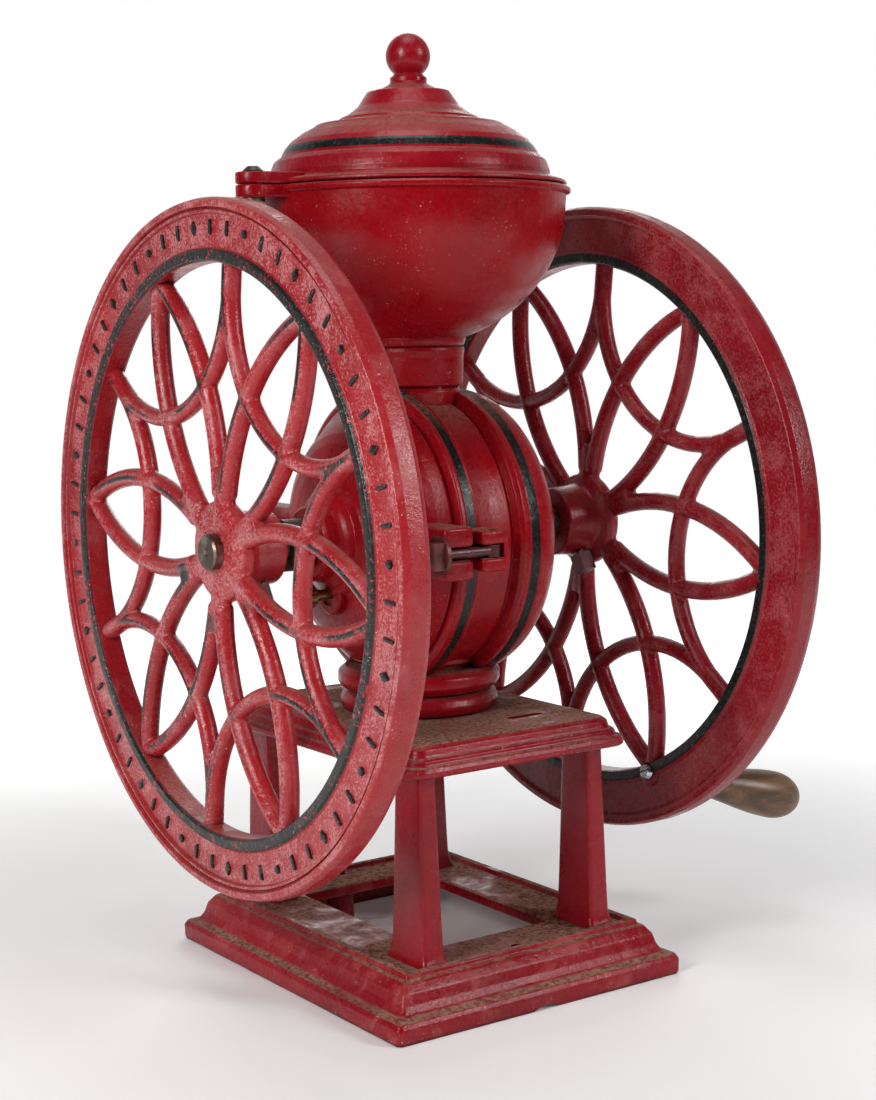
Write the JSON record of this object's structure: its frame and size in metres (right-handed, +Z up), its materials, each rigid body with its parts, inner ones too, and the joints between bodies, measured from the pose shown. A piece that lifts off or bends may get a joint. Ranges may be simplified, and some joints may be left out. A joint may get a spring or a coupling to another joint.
{
  "type": "coffee grinder mill",
  "caption": "Hand-cranked counter coffee mill with two spoked flywheels on one shaft, a round burr housing, a bowl hopper with a swinging lid, and a stepped table on a legged base.",
  "frame": {"origin": "centre of the base's underside, midway between the two hold-down holes", "axes": "+X along the shaft towards the wheel with the grip, -Y towards the front with the clamp bolt, +Z up"},
  "size_m": [0.4847, 0.495, 0.6995],
  "materials": {
    "red_enamel": "glossy worn dark-red enamel over rough cast iron",
    "red_enamel_shade": "glossy worn dark-red enamel, darker",
    "dark_steel": "brown-grey oxidised steel",
    "zinc_steel": "bright zinc plate",
    "black_iron": "dull dark iron",
    "bronze": "oiled bronze",
    "brass": "tarnished brass",
    "brown_wood": "worn stained wood"
  },
  "bodies": {
    "frame": {"base_frame": "red_enamel", "leg_front_left": "red_enamel", "leg_front_right": "red_enamel", "leg_back_left": "red_enamel", "leg_back_right": "red_enamel", "leg_tie_bolts": "dark_steel", "table_plate": "red_enamel", "foot_ring": "red_enamel", "foot_bolts": "dark_steel", "housing_body": "red_enamel", "housing_cover": "red_enamel", "clamp_bolts": "dark_steel", "clamp_pins": "dark_steel", "clamp_washers": "dark_steel", "clamp_nuts": "dark_steel", "neck_ring": "red_enamel", "hopper_bowl": "red_enamel", "hopper_screws": "dark_steel", "lid_pivot_pin": "dark_steel", "lid_pivot_washer": "dark_steel", "left_bush": "bronze", "right_bush": "bronze", "carrier_guide_pins": "dark_steel"},
    "lid": {"lid": "red_enamel", "lid_knob": "red_enamel"},
    "shaft": {"shaft": "dark_steel", "left_wheel": "red_enamel", "right_wheel": "red_enamel_shade", "hub_set_screws": "dark_steel", "thrust_collars": "black_iron", "collar_screws": "dark_steel", "feed_worm": "black_iron", "burr_runner": "black_iron", "rotating_burr": "black_iron", "runner_screws": "dark_steel", "handle_bolt": "zinc_steel"},
    "grip": {"wooden_grip": "brown_wood", "handle_ferrule": "dark_steel"},
    "burr_carrier": {"burr_carrier": "black_iron", "stationary_burr": "black_iron", "carrier_screws": "dark_steel"},
    "adjusting_screw": {"adjusting_screw": "brass"}
  },
  "joints": [
    {"name": "shaft_spin", "type": "hinge", "parent": "frame", "child": "shaft", "pos_m": [0, 0, 0.329], "axis": [1, 0, 0], "continuous": true},
    {"name": "grip_spin", "type": "hinge", "parent": "shaft", "child": "grip", "pos_m": [0.1685, -0.08284, 0.13385], "axis": [0.9563, -0.1142, -0.2691], "continuous": true},
    {"name": "lid_swivel", "type": "hinge", "parent": "frame", "child": "lid", "pos_m": [-0.134, 0, 0.5865], "axis": [0, 0, 1], "range_deg": [-180, 180]},
    {"name": "burr_slide", "type": "slide", "parent": "frame", "child": "burr_carrier", "axis": [1, 0, 0], "range_m": [0, 0.003]},
    {"name": "screw_turn", "type": "hinge", "parent": "burr_carrier", "child": "adjusting_screw", "pos_m": [-0.09, 0, 0.29], "axis": [1, 0, 0], "range_deg": [0, 720]}
  ],
  "couplings": [
    {"joint": "screw_turn", "follows": "burr_slide", "rad_per_m": 4188.8}
  ]
}
